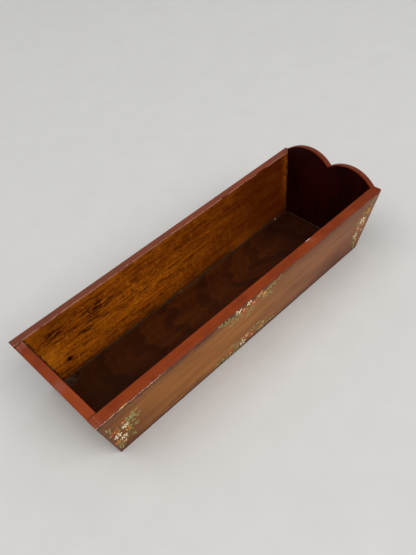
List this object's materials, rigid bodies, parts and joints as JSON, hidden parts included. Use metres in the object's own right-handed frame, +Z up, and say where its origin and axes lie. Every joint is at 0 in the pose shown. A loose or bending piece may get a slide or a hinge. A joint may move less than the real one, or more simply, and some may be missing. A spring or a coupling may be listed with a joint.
{
  "type": "open paint drawer box",
  "caption": "Open wooden paint box, a long shallow trough with outward-leaning walls and a taller double-lobed end; inset floor, no lid.",
  "frame": {"origin": "on the table, under the middle of the box's overall length and width", "axes": "+X along the box to the taller lobed end, -Y the decorated long side, +Z up"},
  "size_m": [0.3073, 0.1046, 0.0713],
  "materials": {
    "side_wood": "golden brown varnished wood, terracotta painted rim",
    "end_wood": "dark stained varnished wood, terracotta painted rim",
    "floor_wood": "very dark stained varnished wood",
    "pin_steel": "plain headless pins, stained over"
  },
  "bodies": {
    "root": {"front_side": "side_wood", "back_side": "side_wood", "low_end": "end_wood", "lobed_end": "end_wood", "floor_board": "floor_wood", "corner_pins": "pin_steel", "floor_pins": "pin_steel"}
  },
  "joints": []
}
